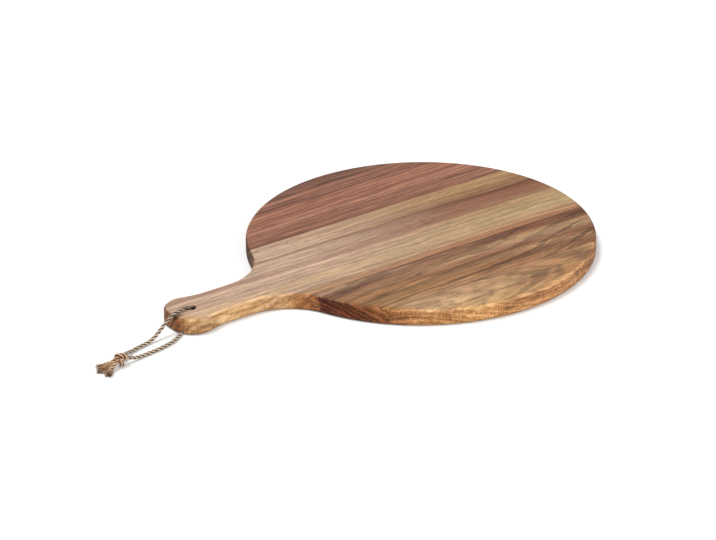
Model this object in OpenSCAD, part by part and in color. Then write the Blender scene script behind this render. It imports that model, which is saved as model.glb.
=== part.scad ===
// Round wooden serving board with a handle and a hanging cord, in millimetres.
// It lies flat on its underside with +Z up. The handle points along -X, and the
// origin is under the middle of the board's length. Four staves run along X,
// glued edge to edge. The cord goes down through a hole near the handle's end,
// and both its strands run to one knot on the surface that the board lies on.

/* [Board] */
// Diameter of the round part
disc_d = 305; // [280:1:330]
// Length over all, from the handle's end to the far rim
board_l = 415; // [400:1:440]
// Thickness of the board
board_t = 15; // [14:0.5:20]
// Radius of the rounding along the upper and lower edges
edge_r = 3; // [1:0.5:5]

/* [Handle] */
// Width of the handle at its neck
neck_w = 39; // [34:1:44]
// Width of the handle at its rounded end
end_w = 48; // [45:1:54]
// Radius of the corners of the handle's end
end_r = 20; // [14:0.5:22]
// Radius of the curve from the neck out to the end
waist_r = 60; // [40:1:80]
// Radius of the curve from the neck into the round part
flare_r = 51; // [40:1:62]

/* [Staves] */
// From the handle's centre line to the joint with the rear stave
rear_joint_y = 62; // [40:1:90]
// From the handle's centre line to the joint with the middle stave
middle_joint_y = 42; // [30:1:60]
// Width of the middle stave
middle_stave_w = 62; // [40:1:80]

/* [Cord hole] */
// Diameter of the hole
hole_d = 7; // [6:0.5:9]
// From the handle's end to the hole's centre
hole_inset = 20.5; // [16:0.5:26]
// Width of the bevel round the hole's two mouths
mouth_bevel = 1.6; // [1.4:0.1:2.4]
// Clearance between the cord and its groove under the handle
groove_gap = 0.6; // [0.5:0.1:1]
// Turn of the groove from the centre line, in degrees
groove_turn = 35; // [25:1:45]

/* [Cord] */
// Diameter of the cord
cord_d = 3.5; // [3:0.1:3.8]
// Thickness of the knot
knot_d = 11.5; // [10:0.5:14]
// Length of the knot along the cord
knot_l = 8; // [7:0.5:10]
// Thickness of the frayed tips of the tails
tip_d = 6; // [4:0.5:8]

/* [Hidden] */

disc_r = disc_d / 2;
disc_x = board_l / 2 - disc_r;
end_x = -board_l / 2;
front_joint_y = middle_joint_y + middle_stave_w;
overrun = board_t;

// Steps of each arc of the outline, and of the rounding on an edge
disc_steps = 72;
flare_steps = 14;
waist_steps = 6;
end_steps = 16;
edge_steps = 5;

// Centres of the arcs that make one side of the outline
end_c = [end_x + end_r, end_w / 2 - end_r];
waist_y = neck_w / 2 + waist_r;
waist_c = [end_c[0] + sqrt(pow(waist_r + end_r, 2) - pow(waist_y - end_c[1], 2)), waist_y];
flare_y = neck_w / 2 + flare_r;
flare_c = [disc_x - sqrt(pow(disc_r + flare_r, 2) - pow(flare_y, 2)), flare_y];
end_turn = atan2(waist_c[1] - end_c[1], waist_c[0] - end_c[0]);
flare_turn = atan2(-flare_c[1], disc_x - flare_c[0]);

// The hole, the height of a strand that lies on the surface or on the board
hole_x = end_x + hole_inset;
hole_r = hole_d / 2;
lay_z = cord_d / 2;
top_z = board_t + lay_z;
groove_h = cord_d + groove_gap;
groove_w = cord_d + 2 * groove_gap;

// The knot from the hole's centre, its turn, and how far each strand in it lies off its axis
knot_at = [-91, -29.5];
knot_turn = 195;
apart_share = 0.55;
strand_y = apart_share * cord_d;
lead_l = cord_d / 2;
bead_r = knot_l / 4;

// A point in the knot's own frame: along it to the tails, across it, and the height
function knot_point(p) = [
    knot_at[0] + p[0] * cos(knot_turn) - p[1] * sin(knot_turn),
    knot_at[1] + p[0] * sin(knot_turn) + p[1] * cos(knot_turn),
    p[2]
];

// The last two points of a strand and the first two of a tail, square on the knot's faces
function knot_entry(side_y) = [
    for (x = [-knot_l / 2 - lead_l, -knot_l / 2]) knot_point([x, side_y, knot_d / 2])
];
function knot_exit(side_y) = [
    for (x = [knot_l / 2, knot_l / 2 + lead_l]) knot_point([x, side_y, knot_d / 2])
];

// Routes of the two strands: along X and Y from the hole's centre, then the height
upper_route = concat([
    [0, 0, 9.2],
    [0, 0, top_z - 6.4],
    [-1, -0.2, top_z - 3],
    [-3.5, -0.8, top_z - 0.5],
    [-7, -1.6, top_z + 0.5],
    [-12, -2.7, top_z + 0.2],
    [-17, -3.7, top_z + 0.1],
    [-22, -4.6, top_z - 1],
    [-27, -5.6, top_z - 3.7],
    [-32, -6.6, 9.8],
    [-37.5, -8, 6.6],
    [-43, -9.5, 3.9],
    [-49, -11.1, 2.3],
    [-56, -12.7, 2],
    [-63, -14.3, 2],
    [-70, -16.2, 2.1],
    [-76, -18.6, 3],
    [-81, -22, 4.6]
], knot_entry(-strand_y));
lower_route = concat([
    [0, 0, 9.2],
    [0, 0, 8.2],
    [-0.8, -0.5, 5.2],
    [-2.9, -2, 2.7],
    [-5.8, -4, lay_z],
    [-12, -8.4, lay_z],
    [-18, -12.8, lay_z],
    [-25, -17.7, lay_z],
    [-33, -22, lay_z],
    [-42, -24.9, lay_z],
    [-51, -26.6, lay_z],
    [-60, -27.9, lay_z],
    [-68, -28.8, 1.9],
    [-75, -29.5, 2.6],
    [-80.5, -29.7, 4.2]
], knot_entry(strand_y));

// Routes of the two tails, and the share of the cord's thickness at each point
long_tail = concat(knot_exit(-strand_y), [
    [-101, -29.8, 5.2],
    [-105, -29.6, 4.5],
    [-108.5, -29.2, 3.8],
    [-111.5, -28.7, tip_d / 2],
    [-114, -28.5, tip_d / 2]
]);
long_shares = [1, 1, 1, 1, 1.2, tip_d / cord_d, tip_d / cord_d];
short_tail = concat(knot_exit(strand_y), [
    [-100, -34.8, 4.4],
    [-103.6, -37.2, 3],
    [-107.5, -39.8, 2.2],
    [-111, -42, 2.1]
]);
short_shares = [1, 1, 1, 1, 1, 1.1];

// Points along an arc, both ends counted
function arc(c, r, from, to, steps) = [
    for (i = [0:steps]) let (a = from + (to - from) * i / steps) c + r * [cos(a), sin(a)]
];

function tail_of(list) = [for (i = [1:len(list) - 1]) list[i]];

function mirrored(list) = [for (i = [len(list) - 1:-1:0]) [list[i][0], -list[i][1]]];

// One side of the outline, drawn in from the edge by inset: end corner, waist, flare and disc
function side(inset) = concat(
    arc(end_c, end_r - inset, 180, end_turn, end_steps),
    tail_of(arc(waist_c, waist_r + inset, end_turn + 180, 270, waist_steps)),
    arc(flare_c, flare_r + inset, 270, flare_turn + 360, flare_steps),
    tail_of(arc([disc_x, 0], disc_r - inset, flare_turn + 180, 0, disc_steps))
);

function outline(inset) = let (s = side(inset)) concat(s, tail_of(mirrored(s)));

function ring(inset, z) = [for (p = outline(inset)) [p[0], p[1], z]];

// The rings of the edge, from the underside up to the top face
function edge_rings() = concat(
    [for (i = [0:edge_steps]) let (a = 90 * i / edge_steps)
        ring(edge_r * (1 - sin(a)), edge_r * (1 - cos(a)))],
    [for (i = [0:edge_steps]) let (a = 90 * i / edge_steps)
        ring(edge_r * (1 - cos(a)), board_t - edge_r * (1 - sin(a)))]
);

// The faces that close the outline's ring: strips from each point to its mirror image
function strips(h) = concat(
    [for (i = [0:h - 2]) [i, i + 1, 2 * h - i - 1, 2 * h - i]],
    [[h - 1, h, h + 1]]
);

// A closed solid through rings of equal length, with the faces that close one ring
module skin(rings, ends) {
    n = len(rings[0]);
    m = len(rings);
    points = [for (r = rings) each r];
    walls = [
        for (j = [0:m - 2], i = [0:n - 1])
            let (k = (i + 1) % n) [j * n + i, j * n + k, (j + 1) * n + k, (j + 1) * n + i]
    ];
    base = [for (f = ends) [for (i = [len(f) - 1:-1:0]) f[i]]];
    cap = [for (f = ends) [for (i = f) (m - 1) * n + i]];
    polyhedron(points, concat(base, walls, cap));
}

// Unit vector along v
function unit(v) = v / norm(v);

// Direction of a route at point i
function heading(route, i) = unit(
    route[min(i + 1, len(route) - 1)] - route[max(i - 1, 0)]
);

// A ring of sides points round p, square to the direction d
function loop(p, d, r, sides) = let (
    across = unit(cross(d, [0, 1, 0])),
    rise = cross(across, d)
) [
    for (i = [0:sides - 1]) let (a = 360 * (i + 0.5) / sides) p + r * (cos(a) * across + sin(a) * rise)
];

// A tube along a route, with a radius for each of its points
module tube(route, radii, sides = 8) {
    skin(
        [for (i = [0:len(route) - 1]) loop(route[i], heading(route, i), radii[i], sides)],
        [[for (i = [0:sides - 1]) i]]
    );
}

module blank() {
    skin(edge_rings(), strips(len(side(0)) - 1));
}

// The part of the board between two joints
module stave(low_y, high_y) {
    intersection() {
        blank();
        translate([end_x - overrun, low_y, -overrun])
            cube([board_l + 2 * overrun, high_y - low_y, board_t + 2 * overrun]);
    }
}

// The bevel of one mouth of the hole, wide at height zero and closing upwards
module mouth() {
    cylinder(h = mouth_bevel, r1 = hole_r + mouth_bevel, r2 = hole_r, $fn = 64);
    translate([0, 0, -overrun])
        cylinder(h = overrun, r = hole_r + mouth_bevel, $fn = 64);
}

// The round-topped groove under the handle, from the hole out past the handle's end
module groove() {
    rotate([0, 0, 180 + groove_turn]) {
        translate([0, 0, groove_h - groove_w / 2])
            rotate([0, 90, 0])
                cylinder(h = hole_inset + overrun, d = groove_w, $fn = 48);
        translate([0, -groove_w / 2, -overrun])
            cube([hole_inset + overrun, groove_w, overrun + groove_h - groove_w / 2]);
    }
}

module rear_stave() {
    color("#8f6a58")
        stave(rear_joint_y, disc_r + overrun);
}

module handle_stave() {
    color("#c9a98c")
        difference() {
            stave(-middle_joint_y, rear_joint_y);
            translate([hole_x, 0, 0]) {
                translate([0, 0, -overrun])
                    cylinder(h = board_t + 2 * overrun, d = hole_d, $fn = 64);
                translate([0, 0, board_t])
                    mirror([0, 0, 1])
                        mouth();
                translate([0, 0, groove_h])
                    mouth();
                groove();
            }
        }
}

module middle_stave() {
    color("#9a7350")
        stave(-front_joint_y, -middle_joint_y);
}

module front_stave() {
    color("#c8965f")
        stave(-disc_r - overrun, -front_joint_y);
}

module cord_upper_run() {
    color("#c2ab90")
        translate([hole_x, 0, 0])
            tube(upper_route, [for (p = upper_route) cord_d / 2]);
}

module cord_lower_run() {
    color("#c2ab90")
        translate([hole_x, 0, 0])
            tube(lower_route, [for (p = lower_route) cord_d / 2]);
}

module cord_knot() {
    color("#c9a080")
        translate([hole_x + knot_at[0], knot_at[1], knot_d / 2])
            rotate([0, 0, knot_turn])
                rotate([0, 90, 0])
                    rotate_extrude($fn = 48)
                        knot_profile();
}

// Half of the knot's section: a core with two turns of cord round it
module knot_profile() {
    translate([0, -knot_l / 2])
        square([knot_d / 2 - bead_r, knot_l]);
    for (y = [-bead_r, bead_r])
        translate([knot_d / 2 - bead_r, y])
            circle(bead_r, $fn = 32);
}

module cord_tails() {
    color("#b48e72")
        translate([hole_x, 0, 0]) {
            tube(long_tail, long_shares * cord_d / 2);
            tube(short_tail, short_shares * cord_d / 2);
        }
}

rear_stave();
handle_stave();
middle_stave();
front_stave();
cord_upper_run();
cord_lower_run();
cord_knot();
cord_tails();
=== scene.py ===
import math
from functools import partial

import bpy
from mathutils import Matrix, Vector


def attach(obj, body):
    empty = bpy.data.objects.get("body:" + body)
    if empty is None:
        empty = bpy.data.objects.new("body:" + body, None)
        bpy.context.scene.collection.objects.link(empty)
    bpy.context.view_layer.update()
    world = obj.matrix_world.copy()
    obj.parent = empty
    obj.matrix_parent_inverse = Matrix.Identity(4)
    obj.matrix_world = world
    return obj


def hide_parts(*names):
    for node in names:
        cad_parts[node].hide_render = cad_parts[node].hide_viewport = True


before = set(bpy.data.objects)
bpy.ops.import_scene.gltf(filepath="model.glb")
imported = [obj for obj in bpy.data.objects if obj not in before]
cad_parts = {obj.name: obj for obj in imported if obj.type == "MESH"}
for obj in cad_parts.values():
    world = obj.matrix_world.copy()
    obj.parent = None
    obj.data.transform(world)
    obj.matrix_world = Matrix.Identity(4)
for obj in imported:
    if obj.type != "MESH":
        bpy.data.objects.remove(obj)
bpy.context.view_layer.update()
scene = bpy.context.scene
scene.view_settings.view_transform = "Standard"
print("Frame loaded:", ", ".join(sorted(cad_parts)))


def hexColour(text):  # sRGB hex to the linear colour that a node takes
    parts = [int(text[i:i + 2], 16) / 255 for i in (1, 3, 5)]
    linear = [c / 12.92 if c <= 0.04045 else ((c + 0.055) / 1.055) ** 2.4 for c in parts]
    return (*linear, 1.0)


# The kinds of node that come up most
mathNode = "ShaderNodeMath"
vectorNode = "ShaderNodeVectorMath"
rangeNode = "ShaderNodeMapRange"
mixNode = "ShaderNodeMix"
noiseNode = "ShaderNodeTexNoise"
storeNode = "GeometryNodeStoreNamedAttribute"


def addNode(tree, kind, links=None, **settings):  # a link is a value, a socket or a node's first live output
    node = tree.nodes.new(kind)
    for name, value in settings.items():
        setattr(node, name, value)
    for key, value in (links or {}).items():
        if isinstance(value, bpy.types.Node):
            value = next(socket for socket in value.outputs if socket.enabled)
        if isinstance(value, bpy.types.NodeSocket):
            tree.links.new(value, node.inputs[key])
        else:
            node.inputs[key].default_value = value
    return node


def newMaterial(name):  # an empty material, and what adds nodes to it
    material = bpy.data.materials.new(name)
    material.use_nodes = True
    material.node_tree.nodes.clear()
    return material, partial(addNode, material.node_tree)


def setStops(node, stops):  # each stop is a place from 0 to 1 and a colour
    ramp = node.color_ramp.elements
    while len(ramp) < len(stops):
        ramp.new(0.5)
    for element, (place, colour) in zip(ramp, stops):
        element.position = place
        element.color = colour


# Camera, at the photograph's own angle and distance
cameraView = {
    "place": (-2.0606, -2.8424, 1.6851),
    "azimuth": -35.77,
    "elevation": 25.70,
    "roll": -0.68,
    "lens": 226.3,
}


def makeCamera(view):
    data = bpy.data.cameras.new("camera")
    data.lens = view["lens"]
    data.sensor_width = 36
    data.clip_end = 40
    camera = bpy.data.objects.new("camera", data)
    scene.collection.objects.link(camera)
    turn = (
        Matrix.Rotation(math.radians(view["azimuth"]), 4, "Z")
        @ Matrix.Rotation(math.radians(90 - view["elevation"]), 4, "X")
        @ Matrix.Rotation(math.radians(view["roll"]), 4, "Z")
    )
    camera.matrix_world = Matrix.Translation(view["place"]) @ turn
    scene.camera = camera


makeCamera(cameraView)
print("Camera placed")

# Cord: limp twisted jute twine, threaded through the handle and knotted
cordSizes = {
    "diameter": 0.0035,
    "plies": 3,
    "plyShare": 0.24,       # radius of a ply, as a share of the cord's diameter
    "lay": 0.0145,          # length of one full turn of the plies
    "hairLength": 0.0016,
    "hairThickness": 0.00009,
    "hairDensity": 160000,  # stray fibres on a square metre of ply
    "dirtAndShadeLength": 0.05,   # darker towards the hole: painted shade inside the hole, and dirt where it rubs over the handle's end
    "pulledThin": 0.8,      # how thin it is there
    "untwist": 2.0,         # how far the plies part at a frayed end
    "frayedPly": 0.35,      # what is left of their thickness there
    "fibreShift": 0.037,    # from one ply's fibre pattern to the next one's
    "step": 0.00045,        # between two rings of a ply
    "restHeight": 0.00002,  # of the lowest fibres over the surface
}
cordSeeds = {"cordUpperRun": 3, "cordLowerRun": 5, "cordKnot": 8, "cordTails": 9}
knotSizes = {
    "along": -0.091,        # its middle, from the hole's centre
    "across": -0.0295,
    "height": 0.006,
    "turn": 195,            # its direction, in degrees
    "half": 0.004,          # half its length
    "strandOffset": 0.001925,
    "turns": 2,             # of the winding strand round the other
    "turnsRadius": 0.0031,
    "weave": 0.0018,        # in and out, and to and fro along the knot
    "swingAlong": 0.0028,
    "swings": 1.5,          # for every turn
    "dive": 0.13,           # share of the winding that leads in, and again out
    "cordDiameter": 0.0039,
}
hole = Vector((-0.187, 0, 0))

# Points of the two runs and the two tails, from the hole's centre, in metres
upperPoints = [
    (0, 0, 0.0092), (0, 0, 0.01035), (-0.001, -0.0002, 0.01375), (-0.0035, -0.0008, 0.01625),
    (-0.007, -0.0016, 0.01725), (-0.012, -0.0027, 0.01695), (-0.017, -0.0037, 0.01685),
    (-0.022, -0.0046, 0.01575), (-0.027, -0.0056, 0.01305), (-0.032, -0.0066, 0.0098),
    (-0.0375, -0.008, 0.0066), (-0.043, -0.0095, 0.0039), (-0.049, -0.0111, 0.0023),
    (-0.056, -0.0127, 0.002), (-0.063, -0.0143, 0.002), (-0.07, -0.0162, 0.0021),
    (-0.076, -0.0186, 0.003), (-0.081, -0.022, 0.0046),
]
lowerPoints = [
    (0, 0, 0.0092), (0, 0, 0.0082), (-0.0008, -0.0005, 0.0052), (-0.0029, -0.002, 0.0027),
    (-0.0058, -0.004, 0.00175), (-0.012, -0.0084, 0.00175), (-0.018, -0.0128, 0.00175),
    (-0.025, -0.0177, 0.00175), (-0.033, -0.022, 0.00175), (-0.042, -0.0249, 0.00175),
    (-0.051, -0.0266, 0.00175), (-0.06, -0.0279, 0.00175), (-0.068, -0.0288, 0.0019),
    (-0.075, -0.0295, 0.0026), (-0.0805, -0.0297, 0.0042),
]
longTailPoints = [
    (-0.101, -0.0304, 0.0052), (-0.105, -0.0306, 0.0045), (-0.1085, -0.0302, 0.0038),
    (-0.1115, -0.0294, 0.003), (-0.114, -0.0288, 0.003),
]
shortTailPoints = [
    (-0.100, -0.0338, 0.0044), (-0.1038, -0.036, 0.003), (-0.1078, -0.0388, 0.0022),
    (-0.111, -0.0416, 0.0021),
]


def knotPoint(along, across, height=0.0):  # a point in the knot's own frame, from the hole's centre
    turn = math.radians(knotSizes["turn"])
    return (
        knotSizes["along"] + along * math.cos(turn) - across * math.sin(turn),
        knotSizes["across"] + along * math.sin(turn) + across * math.cos(turn),
        knotSizes["height"] + height,
    )


def smoothLine(points, step=0.0008):  # a soft curve through the points, as a dense line
    p = [Vector(q) + hole for q in points]
    t = [0.0]
    for a, b in zip(p, p[1:]):
        t.append(t[-1] + (b - a).length)
    slopes = []
    for i in range(len(p)):
        a, b = max(i - 1, 0), min(i + 1, len(p) - 1)
        slopes.append((p[b] - p[a]) / (t[b] - t[a]))
    line = []
    for i in range(len(p) - 1):
        span = t[i + 1] - t[i]
        count = max(2, round(span / step))
        for k in range(count):
            s = k / count
            line.append(
                p[i] * (2 * s ** 3 - 3 * s ** 2 + 1) + slopes[i] * span * (s ** 3 - 2 * s ** 2 + s)
                + p[i + 1] * (3 * s ** 2 - 2 * s ** 3) + slopes[i + 1] * span * (s ** 3 - s ** 2)
            )
    return line + [p[-1]]


def lineLength(line):
    return sum((b - a).length for a, b in zip(line, line[1:]))


def setInputs(modifier, values):  # by the socket's identifier
    sockets = {
        s.name: s.identifier
        for s in modifier.node_group.interface.items_tree
        if s.item_type == "SOCKET" and s.in_out == "INPUT"
    }
    for name, value in values.items():
        modifier[sockets[name]] = value


def nodesToMesh(source, tree, values, name):  # a plain mesh of what the tree makes of the source
    modifier = source.modifiers.new("build", "NODES")
    modifier.node_group = tree
    setInputs(modifier, values)
    bpy.context.view_layer.update()
    graph = bpy.context.evaluated_depsgraph_get()
    mesh = bpy.data.meshes.new_from_object(source.evaluated_get(graph))
    source.modifiers.remove(modifier)
    bpy.data.objects.remove(source)
    mesh.name = name
    mesh.shade_smooth()
    piece = bpy.data.objects.new(name, mesh)
    scene.collection.objects.link(piece)
    print("Built", name, "with", len(mesh.polygons), "faces")
    return piece


def newTree(name, inputs):  # a tree with its named inputs, what adds nodes to it, and the inputs' sockets
    tree = bpy.data.node_groups.new(name, "GeometryNodeTree")
    tree.interface.new_socket("Geometry", in_out="INPUT", socket_type="NodeSocketGeometry")
    for socketName, kind, value in inputs:
        socket = tree.interface.new_socket(socketName, in_out="INPUT", socket_type=kind)
        if value is not None:
            socket.default_value = value
    tree.interface.new_socket("Geometry", in_out="OUTPUT", socket_type="NodeSocketGeometry")
    add = partial(addNode, tree)
    return tree, add, add("NodeGroupInput").outputs


def outwardFrom(add, angle):  # the way out from a line at an angle round it, and what it is made of
    cosine = add(mathNode, {0: angle}, operation="COSINE")
    sine = add(mathNode, {0: angle}, operation="SINE")
    normal = add("GeometryNodeInputNormal")
    tangent = add("GeometryNodeInputTangent")
    aside = add(vectorNode, {0: tangent, 1: normal}, operation="CROSS_PRODUCT")
    first = add(vectorNode, {0: normal, "Scale": cosine}, operation="SCALE")
    second = add(vectorNode, {0: aside, "Scale": sine}, operation="SCALE")
    outward = add(vectorNode, {0: first, 1: second})
    return outward, tangent, cosine, sine


def twistedCordTree():
    tree, add, given = newTree("twistedCord", [
        ("Diameter", "NodeSocketFloat", 0.0035), ("Plies", "NodeSocketInt", 3),
        ("Ply Share", "NodeSocketFloat", 0.25), ("Lay", "NodeSocketFloat", 0.012),
        ("Hair Density", "NodeSocketFloat", 0.0),
        ("Hair Length", "NodeSocketFloat", 0.001), ("Hair Thickness", "NodeSocketFloat", 0.0001),
        ("Seed", "NodeSocketInt", 1), ("Fibre", "NodeSocketMaterial", None),
    ])
    line = add("GeometryNodeMeshToCurve", {"Mesh": given["Geometry"]})
    fine = add("GeometryNodeResampleCurve", {"Curve": line, "Length": cordSizes["step"]}, mode="LENGTH")
    plies = add(
        "GeometryNodeDuplicateElements", {"Geometry": fine, "Amount": given["Plies"]}, domain="SPLINE"
    )
    place = add("GeometryNodeInputPosition")
    marked = add(
        storeNode, {"Geometry": plies.outputs["Geometry"], "Name": "centre", "Value": place},
        data_type="FLOAT_VECTOR",
    )

    # Each ply circles the centre line once for every lay
    along = add("GeometryNodeSplineParameter").outputs["Length"]
    turns = add(mathNode, {0: along, 1: given["Lay"]}, operation="DIVIDE")
    share = add(mathNode, {0: plies.outputs["Duplicate Index"], 1: given["Plies"]}, operation="DIVIDE")
    total = add(mathNode, {0: turns, 1: share})
    angle = add(mathNode, {0: total, 1: math.tau}, operation="MULTIPLY")
    outward = outwardFrom(add, angle)[0]
    opening = add("GeometryNodeInputNamedAttribute", {"Name": "opening"})
    widen = add(mathNode, {0: opening, 1: cordSizes["untwist"], 2: 1.0}, operation="MULTIPLY_ADD")
    inset = add(mathNode, {0: 0.5, 1: given["Ply Share"]}, operation="SUBTRACT")
    reach = add(mathNode, {0: given["Diameter"], 1: inset}, operation="MULTIPLY")
    soil = add("GeometryNodeInputNamedAttribute", {"Name": "soil"})
    tight = add(rangeNode, {"Value": soil, "To Min": 1.0, "To Max": cordSizes["pulledThin"]})
    spread = add(mathNode, {0: reach, 1: widen}, operation="MULTIPLY")
    spread = add(mathNode, {0: spread, 1: tight}, operation="MULTIPLY")
    shift = add(vectorNode, {0: outward, "Scale": spread}, operation="SCALE")
    wound = add("GeometryNodeSetPosition", {"Geometry": marked, "Offset": shift})

    # Where each point lies along and round its ply, for the fibres; the plies thin out where they untwist
    ownStart = add(
        mathNode, {0: plies.outputs["Duplicate Index"], 1: cordSizes["fibreShift"], 2: along},
        operation="MULTIPLY_ADD",
    )
    measured = add(storeNode, {"Geometry": wound, "Name": "along", "Value": ownStart})
    plyRadius = add(mathNode, {0: given["Diameter"], 1: given["Ply Share"]}, operation="MULTIPLY")
    profile = add("GeometryNodeCurvePrimitiveCircle", {"Resolution": 10})
    compass = add(storeNode, {"Geometry": profile, "Name": "round", "Value": place}, data_type="FLOAT_VECTOR")
    thin = add(rangeNode, {"Value": opening, "To Min": 1.0, "To Max": cordSizes["frayedPly"]})
    plySize = add(mathNode, {0: plyRadius, 1: thin}, operation="MULTIPLY")
    plySize = add(mathNode, {0: plySize, 1: tight}, operation="MULTIPLY")
    tube = add(
        "GeometryNodeCurveToMesh",
        {"Curve": measured, "Profile Curve": compass, "Scale": plySize, "Fill Caps": True},
    )

    # How far each point stands out from the centre line, for the painted shade in the grooves between the
    # plies
    centre = add("GeometryNodeInputNamedAttribute", {"Name": "centre"}, data_type="FLOAT_VECTOR")
    away = add(vectorNode, {0: place, 1: centre}, operation="DISTANCE")
    radius = add(mathNode, {0: given["Diameter"], 1: 0.5}, operation="MULTIPLY")
    localRadius = add(mathNode, {0: radius, 1: tight}, operation="MULTIPLY")
    rise = add(mathNode, {0: away.outputs["Value"], 1: localRadius}, operation="DIVIDE")
    shaded = add(storeNode, {"Geometry": tube, "Name": "rise", "Value": rise})

    # Stray fibres
    hairEnd = add("ShaderNodeCombineXYZ", {"Z": given["Hair Length"]})
    hairLine = add("GeometryNodeCurvePrimitiveLine", {"End": hairEnd})
    hairRadius = add(mathNode, {0: given["Hair Thickness"], 1: 0.5}, operation="MULTIPLY")
    hairProfile = add("GeometryNodeCurvePrimitiveCircle", {"Resolution": 3, "Radius": hairRadius})
    hair = add(
        "GeometryNodeCurveToMesh", {"Curve": hairLine, "Profile Curve": hairProfile, "Fill Caps": True}
    )
    paleHair = add(storeNode, {"Geometry": hair, "Name": "rise", "Value": 0.85})
    roots = add(
        "GeometryNodeDistributePointsOnFaces",
        {"Mesh": shaded, "Density": given["Hair Density"], "Seed": given["Seed"]},
    )
    lean = add(
        "FunctionNodeRandomValue", {"Min": (-1.2, -1.2, 0.0), "Max": (1.2, 1.2, 6.2), "Seed": given["Seed"]},
        data_type="FLOAT_VECTOR",
    )
    turned = add(
        "FunctionNodeRotateRotation", {"Rotation": roots.outputs["Rotation"], "Rotate By": lean},
        rotation_space="LOCAL",
    )
    hairs = add(
        "GeometryNodeInstanceOnPoints",
        {"Points": roots.outputs["Points"], "Instance": paleHair, "Rotation": turned},
    )
    joined = add("GeometryNodeJoinGeometry", {0: shaded})
    tree.links.new(hairs.outputs[0], joined.inputs[0])
    finishTree(add, joined, given["Fibre"])
    return tree


def finishTree(add, shape, material):  # real geometry, laid on the surface, with its material
    real = add("GeometryNodeRealizeInstances", {"Geometry": shape})
    place = add("GeometryNodeInputPosition")
    parts = add("ShaderNodeSeparateXYZ", {0: place}).outputs
    height = add(mathNode, {0: parts["Z"], 1: cordSizes["restHeight"]}, operation="MAXIMUM")
    laid = add("ShaderNodeCombineXYZ", {"X": parts["X"], "Y": parts["Y"], "Z": height})
    resting = add("GeometryNodeSetPosition", {"Geometry": real, "Position": laid})
    clean = add("GeometryNodeRemoveAttribute", {"Geometry": resting, "Name": "centre"})
    painted = add("GeometryNodeSetMaterial", {"Geometry": clean, "Material": material})
    add("NodeGroupOutput", {0: painted})


def frayedTipTree():
    tree, add, given = newTree("frayedTip", [
        ("Fibres", "NodeSocketInt", 60), ("Root Radius", "NodeSocketFloat", 0.0014),
        ("Spread", "NodeSocketFloat", 0.003), ("Shortening", "NodeSocketFloat", 0.002),
        ("Curl", "NodeSocketFloat", 0.001), ("Thickness", "NodeSocketFloat", 0.0004),
        ("Seed", "NodeSocketInt", 1), ("Fibre", "NodeSocketMaterial", None),
    ])
    line = add("GeometryNodeMeshToCurve", {"Mesh": given["Geometry"]})
    even = add("GeometryNodeResampleCurve", {"Curve": line, "Count": 10})
    fibres = add(
        "GeometryNodeDuplicateElements", {"Geometry": even, "Amount": given["Fibres"]}, domain="SPLINE"
    )
    index = fibres.outputs["Duplicate Index"]
    opening = add("GeometryNodeInputNamedAttribute", {"Name": "opening"})

    # Each fibre has its own place in the bundle, and its own length
    angle = add("FunctionNodeRandomValue", {"Max": math.tau, "ID": index, "Seed": given["Seed"]})
    draw = add("FunctionNodeRandomValue", {"ID": index, "Seed": 7})
    ratio = add(mathNode, {0: draw, 1: 0.5}, operation="POWER")
    trim = add("FunctionNodeRandomValue", {"Max": given["Shortening"], "ID": index, "Seed": 11})
    outward, tangent, cosine, sine = outwardFrom(add, angle)
    width = add(rangeNode, {"Value": opening, "To Min": given["Root Radius"], "To Max": given["Spread"]})
    reach = add(mathNode, {0: width, 1: ratio}, operation="MULTIPLY")
    fan = add(vectorNode, {0: outward, "Scale": reach}, operation="SCALE")
    back = add(mathNode, {0: trim, 1: opening}, operation="MULTIPLY")
    backward = add(vectorNode, {0: tangent, "Scale": back}, operation="SCALE")
    fanned = add(vectorNode, {0: fan, 1: backward}, operation="SUBTRACT")
    splayed = add("GeometryNodeSetPosition", {"Geometry": fibres.outputs["Geometry"], "Offset": fanned})

    # A little waviness, stronger towards the ends
    place = add("GeometryNodeInputPosition")
    wave = add(noiseNode, {"Vector": place, "Scale": 260.0, "Detail": 1.0})
    centred = add(vectorNode, {0: wave.outputs["Color"], 1: (0.5, 0.5, 0.5)}, operation="SUBTRACT")
    strength = add(mathNode, {0: given["Curl"], 1: opening}, operation="MULTIPLY")
    sway = add(vectorNode, {0: centred, "Scale": strength}, operation="SCALE")
    wavy = add("GeometryNodeSetPosition", {"Geometry": splayed, "Offset": sway})

    # Fibres that lie together share a tone, from dark to pale, so that they read as strands
    firstSide = add(mathNode, {0: cosine, 1: ratio}, operation="MULTIPLY")
    secondSide = add(mathNode, {0: sine, 1: ratio}, operation="MULTIPLY")
    root = add("ShaderNodeCombineXYZ", {"X": firstSide, "Y": secondSide, "Z": given["Seed"]})
    clump = add(noiseNode, {"Vector": root, "Scale": 2.1, "Detail": 1.0})
    tone = add(rangeNode, {"Value": clump, "From Min": 0.36, "From Max": 0.55, "To Min": 0.74})
    toned = add(storeNode, {"Geometry": wavy, "Name": "rise", "Value": tone})
    radius = add(mathNode, {0: given["Thickness"], 1: 0.5}, operation="MULTIPLY")
    profile = add("GeometryNodeCurvePrimitiveCircle", {"Resolution": 4, "Radius": radius})
    tube = add("GeometryNodeCurveToMesh", {"Curve": toned, "Profile Curve": profile, "Fill Caps": True})
    finishTree(add, tube, given["Fibre"])
    return tree
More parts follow.
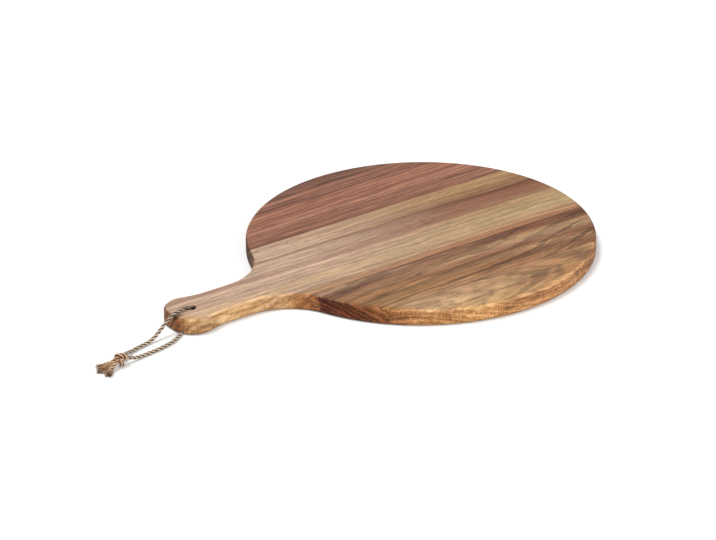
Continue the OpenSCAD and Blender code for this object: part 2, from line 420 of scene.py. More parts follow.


# Jute: dry, matt bast fibre; the twist is painted from pale crests to near-black painted shade in its
# grooves, and the fibres fleck the pale plies
juteColours = {
    "run": {
        "crest": "#efdcc4", "flank": "#a0886f", "groove": "#170d09", "fleck": "#4f3a2b", "tip": "#4a3429",
    },
    "knot": {
        "crest": "#f6d2ae", "flank": "#b3825c", "groove": "#1a0b06", "fleck": "#6a4230", "tip": "#5c2c17",
    },
}
juteRise = {"groove": 0.62, "flank": 0.84, "crest": 0.97}  # how far out each shows, as a share of the radius
juteGrain = {"fibres": (3.4, 0.005), "flecks": (1.1, 0.0024)}  # how many to a ply's radius, length in metres


def juteMaterial(name, look):
    material, add = newMaterial(name)
    rise = add("ShaderNodeAttribute", attribute_name="rise").outputs["Fac"]
    place = add("ShaderNodeTexCoord").outputs["Object"]
    fuzz = add(noiseNode, {"Vector": place, "Scale": 1500.0, "Detail": 2.0})

    # Fibres run along each ply, drawn 0.25 mm wide and 5 mm long, coarser than real, so that they show
    along = add("ShaderNodeAttribute", attribute_name="along").outputs["Fac"]
    around = add("ShaderNodeAttribute", attribute_name="round").outputs["Vector"]
    pattern = {}
    for grain, (fineness, length) in juteGrain.items():
        stretch = add(mathNode, {0: along, 1: length}, operation="DIVIDE")
        lengthwise = add("ShaderNodeCombineXYZ", {"Z": stretch})
        onPly = add(vectorNode, {0: around, 1: (fineness,) * 3, 2: lengthwise}, operation="MULTIPLY_ADD")
        pattern[grain] = add(noiseNode, {"Vector": onPly, "Scale": 1.0, "Detail": 3.0, "Roughness": 0.6})
    # Painted shade: the colour darkens from crest to groove with the depth of the twist
    body = add("ShaderNodeValToRGB", {"Fac": rise})
    setStops(body, [(place, hexColour(look[part])) for part, place in juteRise.items()])
    fleckShare = add(
        rangeNode, {"Value": pattern["flecks"], "From Min": 0.5, "From Max": 0.68, "To Max": 0.6}
    )
    flecked = add(mixNode, {0: fleckShare, 6: body, 7: hexColour(look["fleck"])}, data_type="RGBA")
    opening = add("ShaderNodeAttribute", attribute_name="opening").outputs["Fac"]
    # Darker towards the hole: painted shade inside the hole, and dirt where it rubs over the handle's end;
    # frayed ends are darker too
    soil = add("ShaderNodeAttribute", attribute_name="soil").outputs["Fac"]
    dirtAndShadeShare = add(rangeNode, {"Value": soil, "From Min": 0.15, "From Max": 0.9, "To Max": 0.55})
    endShare = add(rangeNode, {"Value": opening, "From Min": 0.78, "From Max": 1.05, "To Max": 0.6})
    tipShare = add(mathNode, {0: endShare, 1: dirtAndShadeShare}, operation="MAXIMUM")
    tipped = add(mixNode, {0: tipShare, 6: flecked, 7: hexColour(look["tip"])}, data_type="RGBA")
    streak = add(
        rangeNode,
        {"Value": pattern["fibres"], "From Min": 0.35, "From Max": 0.62, "To Min": 0.6, "To Max": 1.12},
    )
    fibrous = add(vectorNode, {0: tipped, "Scale": streak}, operation="SCALE")
    height = add(mathNode, {0: pattern["fibres"], 1: fuzz})
    relief = add("ShaderNodeBump", {"Height": height, "Strength": 0.7, "Distance": 0.0003})
    shader = add(
        "ShaderNodeBsdfPrincipled",
        {"Base Color": fibrous, "Roughness": 0.9, "IOR": 1.45, "Specular IOR Level": 0.15,
         "Sheen Weight": 0.08, "Sheen Roughness": 0.5, "Normal": relief},
    )
    add("ShaderNodeOutputMaterial", {"Surface": shader})
    return material


def makeLines(name, lines, openings=None, dirtAndShadeValues=None):  # edges that the node trees wind cord along
    mesh = bpy.data.meshes.new(name)
    points, edges, opened, dirtAndShadePoints = [], [], [], []
    for n, line in enumerate(lines):
        start = len(points)
        points += line
        edges += [(start + i, start + i + 1) for i in range(len(line) - 1)]
        opened += openings[n] if openings else [0.0] * len(line)
        dirtAndShadePoints += dirtAndShadeValues[n] if dirtAndShadeValues else [0.0] * len(line)
    mesh.from_pydata(points, edges, [])
    mesh.attributes.new("opening", "FLOAT", "POINT").data.foreach_set("value", opened)
    mesh.attributes.new("soil", "FLOAT", "POINT").data.foreach_set("value", dirtAndShadePoints)
    source = bpy.data.objects.new(name, mesh)
    scene.collection.objects.link(source)
    return source


def openEnd(line, length):  # 0 along a line, rising to 1 over its last length
    left, values = 0.0, []
    for a, b in zip(line[::-1], [line[-1]] + line[::-1]):
        left += (a - b).length
        values.append(max(0.0, 1 - left / length))
    return values[::-1]


half, strandOffset = knotSizes["half"], knotSizes["strandOffset"]
lead = cordSizes["diameter"] / 2


def knotStrands():  # one strand winds twice round the other and dives back between the turns
    winding, count = [], 160
    for i in range(count + 1):
        t = i / count
        swing = knotSizes["turns"] * math.tau * t
        inner = min(t, 1 - t) / knotSizes["dive"]
        free = 1.0 if inner >= 1 else inner * inner * (3 - 2 * inner)
        wound = knotSizes["turnsRadius"] + knotSizes["weave"] * math.cos(knotSizes["swings"] * swing)
        radius = strandOffset + (wound - strandOffset) * free
        outer = half if t > 0.5 else -half
        swung = knotSizes["swingAlong"] * math.sin(knotSizes["swings"] * swing)
        along = swung * free + outer * (1 - free)
        angle = math.pi + swing
        winding.append(Vector(knotPoint(along, radius * math.cos(angle), radius * math.sin(angle))) + hole)
    through = [Vector(knotPoint(half * (i / 10 - 1), strandOffset)) + hole for i in range(21)]
    return [winding, through]


def knotEnd(end, strand):  # where a strand leaves one end of the knot, from the inside out
    return [knotPoint(end * along, strand * strandOffset) for along in (half, half + lead)]


upperLine = smoothLine(upperPoints + knotEnd(-1, -1)[::-1])
lowerLine = smoothLine(lowerPoints + knotEnd(-1, 1)[::-1])
longTailLine = smoothLine(knotEnd(1, -1) + longTailPoints)
shortTailLine = smoothLine(knotEnd(1, 1) + shortTailPoints)

juteRun = juteMaterial("twistedJuteDry", juteColours["run"])
juteKnot = juteMaterial("twistedJuteHandled", juteColours["knot"])
cordTree = twistedCordTree()
tipTree = frayedTipTree()


def windCord(name, lines, material, diameter, openings=None, dirtAndShadeValues=None):  # plies wound along the lines
    values = {
        "Diameter": diameter, "Plies": cordSizes["plies"], "Ply Share": cordSizes["plyShare"],
        "Lay": cordSizes["lay"] * diameter / cordSizes["diameter"],
        "Hair Density": cordSizes["hairDensity"], "Hair Length": cordSizes["hairLength"],
        "Hair Thickness": cordSizes["hairThickness"], "Seed": cordSeeds[name], "Fibre": material,
    }
    piece = nodesToMesh(makeLines(name + "Line", lines, openings, dirtAndShadeValues), cordTree, values, name)
    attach(piece, "root")
    return piece


def frayTip(name, line, sizes):  # loose fibres over the last stretch of a tail
    left, tip = 0.0, [line[-1]]
    values = {key: value for key, value in sizes.items() if key not in ("untwisted", "loose")}
    for a, b in zip(line[::-1], line[-2::-1]):
        left += (a - b).length
        tip.insert(0, b)
        if left > sizes["loose"]:
            break
    openings = [[i / (len(tip) - 1) for i in range(len(tip))]]
    values["Fibre"] = juteKnot
    piece = nodesToMesh(makeLines(name + "Line", [tip], openings), tipTree, values, name)
    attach(piece, "root")
    return piece


tipSizes = {  # the untwisted length of each tail, then its loose fibres
    "long": {
        "untwisted": 0.019, "loose": 0.0145, "Fibres": 140, "Root Radius": 0.0016, "Spread": 0.0044,
        "Shortening": 0.006, "Curl": 0.003, "Thickness": 0.00042, "Seed": 4,
    },
    "short": {
        "untwisted": 0.0165, "loose": 0.0105, "Fibres": 100, "Root Radius": 0.0016, "Spread": 0.0033,
        "Shortening": 0.004, "Curl": 0.002, "Thickness": 0.00042, "Seed": 6,
    },
}
runLines = (upperLine, lowerLine)
upperDirtAndShade, lowerDirtAndShade = (openEnd(line[::-1], cordSizes["dirtAndShadeLength"])[::-1] for line in runLines)
upperRun = windCord("cordUpperRun", [upperLine], juteRun, cordSizes["diameter"], dirtAndShadeValues=[upperDirtAndShade])
lowerRun = windCord("cordLowerRun", [lowerLine], juteRun, cordSizes["diameter"], dirtAndShadeValues=[lowerDirtAndShade])
knot = windCord("cordKnot", knotStrands(), juteKnot, knotSizes["cordDiameter"])
tailLines = {"long": longTailLine, "short": shortTailLine}
tailOpenings = [openEnd(line, tipSizes[tail]["untwisted"]) for tail, line in tailLines.items()]
tails = windCord("cordTails", [*tailLines.values()], juteKnot, cordSizes["diameter"], tailOpenings)
longTip = frayTip("longTipFibres", longTailLine, tipSizes["long"])
shortTip = frayTip("shortTipFibres", shortTailLine, tipSizes["short"])
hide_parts("cord_upper_run")
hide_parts("cord_lower_run")
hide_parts("cord_knot")
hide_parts("cord_tails")
print("Cord made, with free runs of", *(round(lineLength(line) * 1000) for line in runLines), "mm")

# Acacia: open-grained hardwood, planed, sanded and oiled; satin, with strong dark and pale growth layers.
# Each stave is sawn from another plank, so each has its own layers. Lengths are in millimetres.
staveLooks = {
    "rear_stave": {
        "width": (62, 153), "lean": 0.6, "wander": 2.0,
        "layers": [
            (62, "#8b5a45"), (70, "#a37058"), (80, "#94624d"), (88, "#b88167"), (97, "#9d6750"),
            (108, "#b0775e"), (118, "#835644"), (127, "#a7715a"), (135, "#895e4b"), (153, "#6c4837"),
        ],
        "patch": "#684133", "patchShare": 0.5, "seed": 1.0,
        "pith": (220, -60), "tilt": 0.02, "ring": 3.4, "ringDepth": 0.43,
        "edgeTints": ((1.16, 0.98, 0.7), (1.16, 0.98, 0.7)), "curve": 0.26, "marks": 0.4,
        "endGrain": "#3c1a0d", "endFacing": (0.4, 1.0),
    },
    "handle_stave": {
        "width": (-42, 62), "lean": 0.5, "wander": 2.4,
        "layers": [
            (-42, "#ab7850"), (-38, "#b88c66"), (-32, "#c59f7e"), (-25, "#c4a489"), (-20, "#d6b38e"),
            (-14, "#cfad8c"), (-8, "#c9a88e"), (8, "#d1ae94"), (15, "#b4917b"), (19, "#caab91"),
            (33, "#cbab93"), (37, "#ab866b"), (40, "#d3b298"), (50, "#cdab90"), (62, "#c0a086"),
        ],
        "farLayers": [
            (-42, "#9a6648"), (-36, "#b7835f"), (-30, "#b9926c"), (-22, "#bd9f74"), (-6, "#ba9a6e"),
            (4, "#ae8862"), (13, "#905f45"), (27, "#8c5c43"), (31, "#74462f"), (38, "#966c4a"),
            (46, "#9f7650"), (54, "#b89164"), (62, "#a87f58"),
        ],
        "patch": "#a87f66", "patchShare": 0.4, "seed": 2.0,
        "pith": (-150, -90), "tilt": 0.015, "ring": 4.4, "ringDepth": 0.25,
        "edgeTints": ((1.32, 1.27, 1.02), (1.4, 1.42, 1.24)), "tintRange": (-128, -96),
        "curve": 0.3, "marks": 0.4,
        # the dark rear grain colour is painted shade on the far side of the handle's end
        "endGrain": "#925e36", "endFacing": (0.48, 1.0), "tipGrain": "#935c36", "rearGrainShade": "#4a220f",
        "rootRange": (-124, -106), "rootFade": (26, 4),
    },
    "middle_stave": {
        "width": (-104, -42), "lean": -2.0, "wander": 1.8, "bend": 26,
        "layers": [
            (-104, "#c0956c"), (-98, "#b58a60"), (-91, "#a1764e"), (-84, "#a97d52"), (-75, "#966a45"),
            (-64, "#a07551"), (-56, "#8a5d42"), (-51, "#9b6f54"), (-46, "#b18969"), (-42, "#b08a6c"),
        ],
        "farLayers": [
            (-104, "#b07b55"), (-96, "#9f714c"), (-87, "#8d5f3e"), (-79, "#b58b64"), (-72, "#8b5c3b"),
            (-66, "#ac8063"), (-59, "#c19d72"), (-53, "#946848"), (-48, "#744930"), (-42, "#7e5138"),
        ],
        "patch": "#5d3826", "patchShare": 0.55, "seed": 3.0,
        "pith": (-30, -110), "tilt": 0.03, "ring": 3.1, "ringDepth": 0.47,
        "edgeTints": ((1.5, 1.3, 1.04), (1.16, 1.02, 0.77)), "tintRange": (-20, 60),
        "curve": 0.3, "marks": 0.3,
        "endGrain": "#642f1e", "endFacing": (0.6, 0.94),
        "rootRange": (-124, -106), "rootFade": (9.5, 8.0),
    },
    "front_stave": {
        "width": (-153, -104), "lean": 0.5, "wander": 2.5,
        "layers": [
            (-153, "#ddaf79"), (-144, "#d9af7b"), (-134, "#d0a475"), (-126, "#d8b184"), (-116, "#c69c73"),
            (-104, "#bf9970"),
        ],
        "farLayers": [
            (-153, "#bc8a5c"), (-144, "#b88a5e"), (-134, "#ac7c52"), (-125, "#a07852"), (-116, "#b5865c"),
            (-104, "#b6875f"),
        ],
        "fade": (-10, 120),
        "patch": "#7d5242", "patchShare": 0.5, "seed": 4.0,
        "pith": (-126, -34), "tilt": 0.11, "ring": 4.6, "ringDepth": 0.4,
        "edgeTints": ((1.13, 1.0, 0.86), (1.39, 1.45, 1.64)), "tintRange": (-25, 110),
        "curve": 0.24, "marks": 1.2,
        "endGrain": "#98512c", "endFacing": (0.42, 1.0),
    },
}
plainLook = {  # for what a stave's own look leaves out; the root's ranges reach no other stave
    "bend": 0, "fade": (-90, 150), "tintRange": (0, 1), "rootRange": (400, 500), "rootFade": (3, 2),
}

# Noise stretched to its size along, across and down a stave, from two of its levels to what they give.
# Fibres and pores are drawn 1.7 mm and 1.3 mm wide, coarser than real, so that they show.
woodPatterns = {
    "drift": {"size": (150, 45, 45), "detail": 2, "shift": 0, "from": (0.25, 0.75), "to": (-1, 1)},
    "fineDrift": {"size": (38, 5, 5), "detail": 2, "shift": 3, "from": (0.25, 0.75), "to": (-1, 1)},
    "patches": {"size": (70, 9, 9), "detail": 3, "shift": 9, "from": (0.52, 0.68), "to": (0, 1)},
    "fibres": {"size": (34, 1.7, 1.7), "detail": 3, "shift": 15, "from": (0.32, 0.66), "to": (0.74, 1.2)},
    "pores": {"size": (8, 1.3, 1.3), "detail": 2, "shift": 21, "from": (0.56, 0.68), "to": (1, 0.66)},
    "marks": {"size": (1.3, 1.3, 6), "detail": 3, "shift": 31, "from": (0.35, 0.65), "to": (-0.22, 0.16)},
    "clouds": {"size": (24, 24, 9), "detail": 2, "shift": 41, "from": (0.35, 0.65), "to": (-0.13, 0.18)},
}
boardMarks = {
    "topHeight": 15,
    "seedStep": 7.3,                # between the patterns of two staves
    "bendRun": (90, 210),           # where the layers bend, along the board
    "handleEnd": (-191, -199),      # past here the edge is end grain all round
    "tipGrain": (-150, -195),       # its colours change along the handle
    "rearGrainShade": (4, 15),           # and across it, darker towards the far side, as painted shade
    "curveGold": 0.45,              # how golden the curve is beside the wall
    "streakTint": (1.0, 0.84, 0.66),  # the edge's dark streaks are redder
    "lowEdge": (0.2, 2.4), "lowEdgeShade": 0.55,  # painted shade along the lower edge
    "glueJoints": (62, -42, -104), "glue": "#4a2c1f", "glueShare": 0.45, "glueFade": (1.1, 0.3),
    "root": (-91, -42, 6), "rootColour": "#c98450", "rootShare": 0.8,
    "knotRings": (26, 6), "knotRingShare": 0.9,
    "soakedTint": (0.82, 0.66, 0.45),
    "soakedRims": (  # bands round a centre, each stronger over a range along and a range across the board
        {"centre": (55, 0), "radius": (145.5, 149), "along": (-30, -50), "across": (-66, -76)},
        {"centre": (-187.5, -4), "radius": (12, 19), "along": (-190, -197), "across": (-5, -11)},
    ),
}
stains = {  # each fades out round its centre, at distances that are stretched along the axes
    # Painted shade: the drilled hole is painted near black down its wall and round its mouth
    "hole": {
        "centre": (1000 * hole.x, 0, 0), "stretch": (1.0, 1.0, 0.0), "fade": (5.2, 3.8),
        "colour": "#1c0f0a", "share": 0.9,
    },
    # Painted shadow of the cord on the handle's end, beside and under its upper run
    "cordShadow": {
        "centre": (-205.5, -7.0, 14.5), "stretch": (0.4, 1.0, 1.0), "fade": (3.6, 0.9),
        "colour": "#2a140c", "share": 0.75,
    },
    "knot": {
        "centre": (-85.4, -54, 13.2), "stretch": (0.7, 0.8, 1.3), "fade": (4.4, 1.6),
        "colour": "#2e1108", "share": 0.7,
    },
}
facingUp = {  # how far up the surface faces, from 1 on top to 0 on the wall, where each begins and is full
    "curve": (0.99, 0.85), "curveBeforeWall": (0.35, 0.65), "paintedUpturnedEndShade": (0.15, 0.85),
    "edge": (0.65, 0.25), "darkEdge": (0.97, 0.78),
}


def acaciaMaterial(node, look):
    material, add = newMaterial("oiledAcacia_" + node)
    coordinates = add("ShaderNodeTexCoord").outputs
    spot = add(vectorNode, {0: coordinates["Object"], "Scale": 1000.0}, operation="SCALE")
    parts = add("ShaderNodeSeparateXYZ", {0: spot}).outputs
    unsigned = add(vectorNode, {0: coordinates["Normal"]}, operation="ABSOLUTE")
    facing = add("ShaderNodeSeparateXYZ", {0: unsigned}).outputs
    sideways = add(vectorNode, {0: unsigned, 1: (1.0, 1.0, 0.0)}, operation="MULTIPLY")
    heading = add(vectorNode, {0: sideways}, operation="NORMALIZE")
    heading = add("ShaderNodeSeparateXYZ", {0: heading}).outputs
    same = {"farLayers": look["layers"], "tipGrain": look["endGrain"], "rearGrainShade": look["endGrain"]}
    look = {**plainLook, **same, **look}  # its own values last
    low, high = look["width"]

    pattern = {}
    for name, given in woodPatterns.items():
        levels, gives = given["from"], given["to"]
        shift = given["shift"] + look["seed"] * boardMarks["seedStep"]
        stretched = add(
            vectorNode, {0: spot, 1: [1 / size for size in given["size"]], 2: (shift,) * 3},
            operation="MULTIPLY_ADD",
        )
        noise = add(
            noiseNode, {"Vector": stretched, "Scale": 1.0, "Detail": given["detail"], "Roughness": 0.6}
        )
        pattern[name] = add(
            rangeNode,
            {"Value": noise, "From Min": levels[0], "From Max": levels[1], "To Min": gives[0],
             "To Max": gives[1]},
        )

    # The layers wander along the stave, lean as they go down through it, and bend near the far rim
    start, end = boardMarks["bendRun"]
    run = add(rangeNode, {"Value": parts["X"], "From Min": start, "From Max": end})
    rise = add(mathNode, {0: run, 1: 2.0}, operation="POWER")
    share = add(rangeNode, {"Value": parts["Y"], "From Min": high, "From Max": low, "To Max": look["bend"]})
    bent = add(mathNode, {0: rise, 1: share}, operation="MULTIPLY")
    waver = add(
        mathNode, {0: pattern["drift"], 1: look["wander"], 2: pattern["fineDrift"]}, operation="MULTIPLY_ADD"
    )
    shift = add(mathNode, {0: waver, 1: bent})
    across = add(mathNode, {0: parts["Z"], 1: look["lean"], 2: shift}, operation="MULTIPLY_ADD")
    across = add(mathNode, {0: across, 1: parts["Y"]})
    sink = boardMarks["topHeight"] * look["lean"]
    place = add(rangeNode, {"Value": across, "From Min": low + sink, "From Max": high + sink})
    layers = []
    for stops in (look["layers"], look["farLayers"]):
        ramp = add("ShaderNodeValToRGB", {"Fac": place})
        setStops(ramp, [((y - low) / (high - low), hexColour(colour)) for y, colour in stops])
        layers.append(ramp)
    start, end = look["fade"]
    fade = add(
        rangeNode, {"Value": parts["X"], "From Min": start, "From Max": end}, interpolation_type="SMOOTHSTEP"
    )
    colour = add(mixNode, {0: fade, 6: layers[0], 7: layers[1]}, data_type="RGBA")

    # Darker heartwood patches with long soft edges
    patches = add(mathNode, {0: pattern["patches"], 1: look["patchShare"]}, operation="MULTIPLY")
    colour = add(mixNode, {0: patches, 6: colour, 7: hexColour(look["patch"])}, data_type="RGBA")

    # Growth rings round a pith outside the stave; a little tilt opens them into arches on the face
    pithY, pithZ = look["pith"]
    fromPith = add(
        vectorNode, {0: spot, 1: (0.0, 1.0, 1.0), 2: (0.0, -pithY, -pithZ)}, operation="MULTIPLY_ADD"
    )
    reach = add(vectorNode, {0: fromPith}, operation="LENGTH")
    reach = add(mathNode, {0: parts["X"], 1: look["tilt"], 2: reach}, operation="MULTIPLY_ADD")
    reach = add(mathNode, {0: reach, 1: shift})
    rings = add(
        noiseNode, {"W": reach, "Scale": 1 / look["ring"], "Detail": 3.0, "Roughness": 0.75},
        noise_dimensions="1D",
    )
    ringShade = add(
        rangeNode,
        {"Value": rings, "From Min": 0.38, "From Max": 0.6, "To Min": 1 - look["ringDepth"],
         "To Max": 1 + 0.3 * look["ringDepth"]},
    )
    grainShade = add(mathNode, {0: pattern["fibres"], 1: pattern["pores"]}, operation="MULTIPLY")
    shade = add(mathNode, {0: ringShade, 1: grainShade}, operation="MULTIPLY")

    # End grain shows where the edge cuts across the fibres, from high on the edge's curve down; in between,
    # the edge is tinted more golden than the faces, partly its oiled colour and partly painted light that
    # lifts the walls, and a painted highlight makes it palest on its curve
    start, end = look["endFacing"]
    cut = add(
        rangeNode, {"Value": heading["X"], "From Min": start, "From Max": end, "To Max": 0.92},
        interpolation_type="SMOOTHSTEP",
    )
    dark = cut
    for start, end in (look["rootRange"], boardMarks["handleEnd"]):
        ramp = add(rangeNode, {"Value": parts["X"], "From Min": start, "From Max": end})
        dark = add(mathNode, {0: dark, 1: ramp}, operation="MAXIMUM")
    edgeStart, edgeEnd = (
        add(rangeNode, {"Value": dark, "To Min": plain, "To Max": darkened})
        for plain, darkened in zip(facingUp["edge"], facingUp["darkEdge"])
    )
    edge = add(
        rangeNode, {"Value": facing["Z"], "From Min": edgeStart, "From Max": edgeEnd},
        interpolation_type="SMOOTHSTEP",
    )
    cut = add(mathNode, {0: cut, 1: edge}, operation="MULTIPLY")
    leavesTop, meetsWall, paintedUpturnedEndShade = (
        add(rangeNode, {"Value": facing["Z"], "From Min": facingUp[part][0], "From Max": facingUp[part][1]})
        for part in ("curve", "curveBeforeWall", "paintedUpturnedEndShade")
    )
    curve = add(mathNode, {0: leavesTop, 1: meetsWall}, operation="MULTIPLY")
    pale = add(rangeNode, {"Value": dark, "To Min": 1.0, "To Max": 0.0})
    curve = add(mathNode, {0: curve, 1: pale}, operation="MULTIPLY")
    edgePattern = add(
        mathNode, {0: pattern["marks"], 1: look["marks"], 2: pattern["clouds"]}, operation="MULTIPLY_ADD"
    )
    edgeShade = add(mathNode, {0: edgePattern, 1: edge, 2: 1.0}, operation="MULTIPLY_ADD")
    # Painted highlight: the curve between the top and the wall is lightened, less where the edge is dark
    paintedCurveHighlight = add(mathNode, {0: curve, 1: look["curve"], 2: 1.0}, operation="MULTIPLY_ADD")
    # Painted shade along the lower edge of the walls and their curves; flat faces keep their colour
    start, end = boardMarks["lowEdge"]
    paintedLowEdgeShade = add(
        rangeNode,
        {"Value": parts["Z"], "From Min": start, "From Max": end, "To Min": boardMarks["lowEdgeShade"]},
    )
    lowShade = add(mixNode, {0: leavesTop, 2: 1.0, 3: paintedLowEdgeShade})
    for factor in (edgeShade, paintedCurveHighlight, lowShade):
        shade = add(mathNode, {0: shade, 1: factor}, operation="MULTIPLY")
    colour = add(vectorNode, {0: colour, "Scale": shade}, operation="SCALE")
    start, end = look["tintRange"]
    firstTint, secondTint = look["edgeTints"]
    tint = add(
        rangeNode, {"Vector": parts["X"], 7: (start,) * 3, 8: (end,) * 3, 9: firstTint, 10: secondTint},
        data_type="FLOAT_VECTOR",
    )
    inStreak = add(rangeNode, {"Value": shade, "From Min": 1.15, "From Max": 0.7})
    streak = add(mixNode, {0: inStreak, 6: (1, 1, 1, 1), 7: (*boardMarks["streakTint"], 1)}, data_type="RGBA")
    # Golden tint on the edge: partly its oiled colour, partly painted light that lifts the walls
    goldenAndLitEdge = add(vectorNode, {0: colour, 1: tint}, operation="MULTIPLY")
    goldenAndLitEdge = add(vectorNode, {0: goldenAndLitEdge, 1: streak}, operation="MULTIPLY")
    goldenAndLitShare = add(mathNode, {0: curve, 1: boardMarks["curveGold"], 2: edge}, operation="MULTIPLY_ADD")
    colour = add(mixNode, {0: goldenAndLitShare, 6: colour, 7: goldenAndLitEdge}, data_type="RGBA")
    endTone = add(
        rangeNode, {"Value": rings, "From Min": 0.4, "From Max": 0.62, "To Min": 0.6, "To Max": 1.8}
    )
    # Painted shade: end grain is painted darker where its curve turns up towards the top
    paintedUpturnedEndShade = add(rangeNode, {"Value": paintedUpturnedEndShade, "To Min": 1.0, "To Max": 0.55})
    endShade = add(mathNode, {0: shade, 1: endTone}, operation="MULTIPLY")
    endShade = add(mathNode, {0: endShade, 1: paintedUpturnedEndShade}, operation="MULTIPLY")
    endGrain = hexColour(look["endGrain"])
    # End grain colours change along the handle, and across it towards the far side, where the darkness is
    # painted shade
    for grain, measure in (("tipGrain", parts["X"]), ("rearGrainShade", parts["Y"])):
        start, end = boardMarks[grain]
        ramp = add(rangeNode, {"Value": measure, "From Min": start, "From Max": end})
        endGrain = add(mixNode, {0: ramp, 6: endGrain, 7: hexColour(look[grain])}, data_type="RGBA")
    endColour = add(vectorNode, {0: endGrain, "Scale": endShade}, operation="SCALE")
    colour = add(mixNode, {0: cut, 6: colour, 7: endColour}, data_type="RGBA")

    # The face has drunk more oil as well, beside the edge near the root and at the handle's end
    face = add(rangeNode, {"Value": edge, "To Min": 1.0, "To Max": 0.0})
    for band in boardMarks["soakedRims"]:
        centreX, centreY = band["centre"]
        inward = add(
            vectorNode, {0: spot, 1: (1.0, 1.0, 0.0), 2: (-centreX, -centreY, 0.0)}, operation="MULTIPLY_ADD"
        )
        radius = add(vectorNode, {0: inward}, operation="LENGTH")
        soakedShare = face
        for measure, limits in ((radius, "radius"), (parts["X"], "along"), (parts["Y"], "across")):
            start, end = band[limits]
            ramp = add(rangeNode, {"Value": measure, "From Min": start, "From Max": end})
            soakedShare = add(mathNode, {0: soakedShare, 1: ramp}, operation="MULTIPLY")
        oiled = add(vectorNode, {0: colour, 1: boardMarks["soakedTint"]}, operation="MULTIPLY")
        colour = add(mixNode, {0: soakedShare, 6: colour, 7: oiled}, data_type="RGBA")

    # Warm wood beside a small knot at the handle's root, where the edge cuts it, then the knot's rings
    fromRoot = add(vectorNode, {0: spot, 1: boardMarks["root"]}, operation="DISTANCE").outputs["Value"]
    start, end = look["rootFade"]
    rootShare = add(
        rangeNode, {"Value": fromRoot, "From Min": start, "From Max": end, "To Max": boardMarks["rootShare"]},
        interpolation_type="SMOOTHSTEP",
    )
    rootShare = add(mathNode, {0: rootShare, 1: edge}, operation="MULTIPLY")
    rootTone = add(
        vectorNode, {0: hexColour(boardMarks["rootColour"])[:3], "Scale": shade}, operation="SCALE"
    )
    colour = add(mixNode, {0: rootShare, 6: colour, 7: rootTone}, data_type="RGBA")
    fromKnot = add(vectorNode, {0: spot, 1: stains["knot"]["centre"]}, operation="DISTANCE").outputs["Value"]
    knotReach = add(mathNode, {0: fromKnot, 1: pattern["fineDrift"]})
    knotRings = add(
        noiseNode, {"W": knotReach, "Scale": 0.4, "Detail": 3.0, "Roughness": 0.7}, noise_dimensions="1D"
    )
    knotTone = add(
        rangeNode, {"Value": knotRings, "From Min": 0.4, "From Max": 0.6, "To Min": 0.5, "To Max": 1.15}
    )
    start, end = boardMarks["knotRings"]
    knotShare = add(
        rangeNode,
        {"Value": knotReach, "From Min": start, "From Max": end, "To Max": boardMarks["knotRingShare"]},
    )
    knotShare = add(mathNode, {0: knotShare, 1: edge}, operation="MULTIPLY")
    knotShade = add(mixNode, {0: knotShare, 2: 1.0, 3: knotTone})
    colour = add(vectorNode, {0: colour, "Scale": knotShade}, operation="SCALE")

    # Painted shade in the drilled hole and a painted shadow beside the cord, the knot's dark heart, then thin
    # dark lines of glue
    for stain in stains.values():
        offset = [-part * size for part, size in zip(stain["centre"], stain["stretch"])]
        away = add(vectorNode, {0: spot, 1: stain["stretch"], 2: offset}, operation="MULTIPLY_ADD")
        distance = add(vectorNode, {0: away}, operation="LENGTH")
        start, end = stain["fade"]
        stainShare = add(
            rangeNode, {"Value": distance, "From Min": start, "From Max": end, "To Max": stain["share"]}
        )
        colour = add(mixNode, {0: stainShare, 6: colour, 7: hexColour(stain["colour"])}, data_type="RGBA")
    start, end = boardMarks["glueFade"]
    for joint in boardMarks["glueJoints"]:
        if joint in look["width"]:
            beside = add(mathNode, {0: parts["Y"], 1: float(joint)}, operation="SUBTRACT")
            away = add(mathNode, {0: beside}, operation="ABSOLUTE")
            glueShare = add(
                rangeNode,
                {"Value": away, "From Min": start, "From Max": end, "To Max": boardMarks["glueShare"]},
            )
            hidden = add(rangeNode, {"Value": rootShare, "To Min": 1.0, "To Max": 0.0})
            glueShare = add(mathNode, {0: glueShare, 1: hidden}, operation="MULTIPLY")
            colour = add(
                mixNode, {0: glueShare, 6: colour, 7: hexColour(boardMarks["glue"])}, data_type="RGBA"
            )

    roughness = add(
        rangeNode,
        {"Value": pattern["fibres"], "From Min": 0.74, "From Max": 1.2, "To Min": 0.62, "To Max": 0.46},
    )
    bump = add("ShaderNodeBump", {"Height": grainShade, "Strength": 0.3, "Distance": 0.0004})
    shader = add(
        "ShaderNodeBsdfPrincipled",
        {"Base Color": colour, "Roughness": roughness, "IOR": 1.48, "Specular IOR Level": 0.2,
         "Normal": bump},
    )
    add("ShaderNodeOutputMaterial", {"Surface": shader})
    return material


for node, look in staveLooks.items():
    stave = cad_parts[node]
    stave.data.materials.clear()
    stave.data.materials.append(acaciaMaterial(node, look))
print("Staves dressed")

# Pale floor and soft studio light
studio = {
    "floorSize": 9.0,
    "floorHeight": -0.0001,    # just under the board
    "floorColour": "#cfcfcf",  # what the floor throws back on the board
    "floorGlow": 0.15,         # lifts the floor's own shadows a little
    "sky": 0.36,               # even light from all round
    "keyStrength": 1.95,       # from the left, behind the board
    "keyAngle": 30,
    "keyFrom": (-0.3, 0.25, 1.0),
    "fillStrength": 1.5,       # low, from the camera's side
    "fillAngle": 50,
    "fillFrom": (0.1, -1.0, 0.45),
}


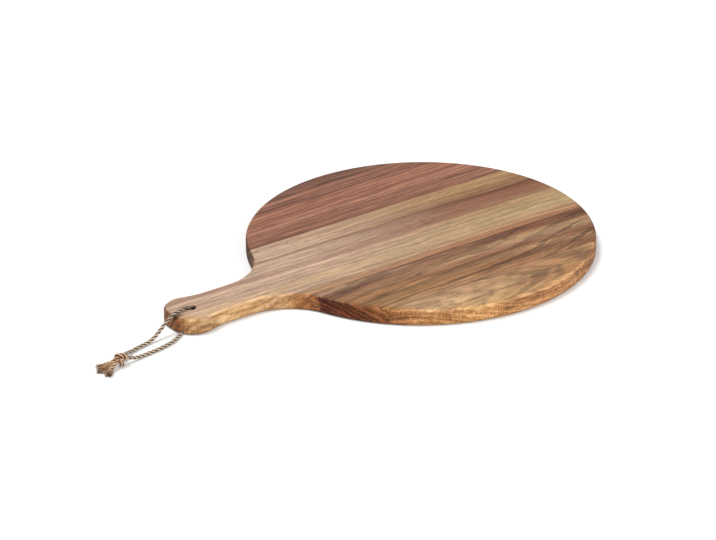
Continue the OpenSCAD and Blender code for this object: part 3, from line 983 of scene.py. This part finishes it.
def makeFloor(size, height):
    mesh = bpy.data.meshes.new("floor")
    corners = ((-1, -1), (1, -1), (1, 1), (-1, 1))
    mesh.from_pydata([(x * size / 2, y * size / 2, height) for x, y in corners], [], [(0, 1, 2, 3)])
    floor = bpy.data.objects.new("floor", mesh)
    scene.collection.objects.link(floor)
    material, add = newMaterial("paleFloor")
    seen = add("ShaderNodeLightPath").outputs["Is Camera Ray"]
    plain = add(mixNode, {0: seen, 6: hexColour(studio["floorColour"]), 7: (1, 1, 1, 1)}, data_type="RGBA")
    matt = add("ShaderNodeBsdfDiffuse", {"Color": plain})
    glow = add(mathNode, {0: seen, 1: studio["floorGlow"]}, operation="MULTIPLY")
    lift = add("ShaderNodeEmission", {"Strength": glow})
    both = add("ShaderNodeAddShader", {0: matt, 1: lift})
    add("ShaderNodeOutputMaterial", {"Surface": both})
    mesh.materials.append(material)


def makeSun(name, strength, angle, towards):
    data = bpy.data.lights.new(name, "SUN")
    data.energy = strength
    data.angle = math.radians(angle)
    sun = bpy.data.objects.new(name, data)
    sun.rotation_euler = Vector(towards).to_track_quat("Z", "Y").to_euler()
    scene.collection.objects.link(sun)


def makeSky(strength):
    world = bpy.data.worlds.new("studio")
    scene.world = world
    world.use_nodes = True
    world.node_tree.nodes.clear()
    add = partial(addNode, world.node_tree)
    path = add("ShaderNodeLightPath").outputs
    seen = add(mathNode, {0: path["Is Camera Ray"], 1: path["Is Glossy Ray"]}, operation="MAXIMUM")
    seen = add(mathNode, {0: seen, 1: path["Is Transmission Ray"]}, operation="MAXIMUM")
    level = add(rangeNode, {"Value": seen, "To Min": strength, "To Max": 1.0})
    sky = add("ShaderNodeBackground", {"Strength": level})
    add("ShaderNodeOutputWorld", {"Surface": sky})


makeFloor(studio["floorSize"], studio["floorHeight"])
makeSky(studio["sky"])
makeSun("key", studio["keyStrength"], studio["keyAngle"], studio["keyFrom"])
makeSun("fill", studio["fillStrength"], studio["fillAngle"], studio["fillFrom"])
print("Studio lit")
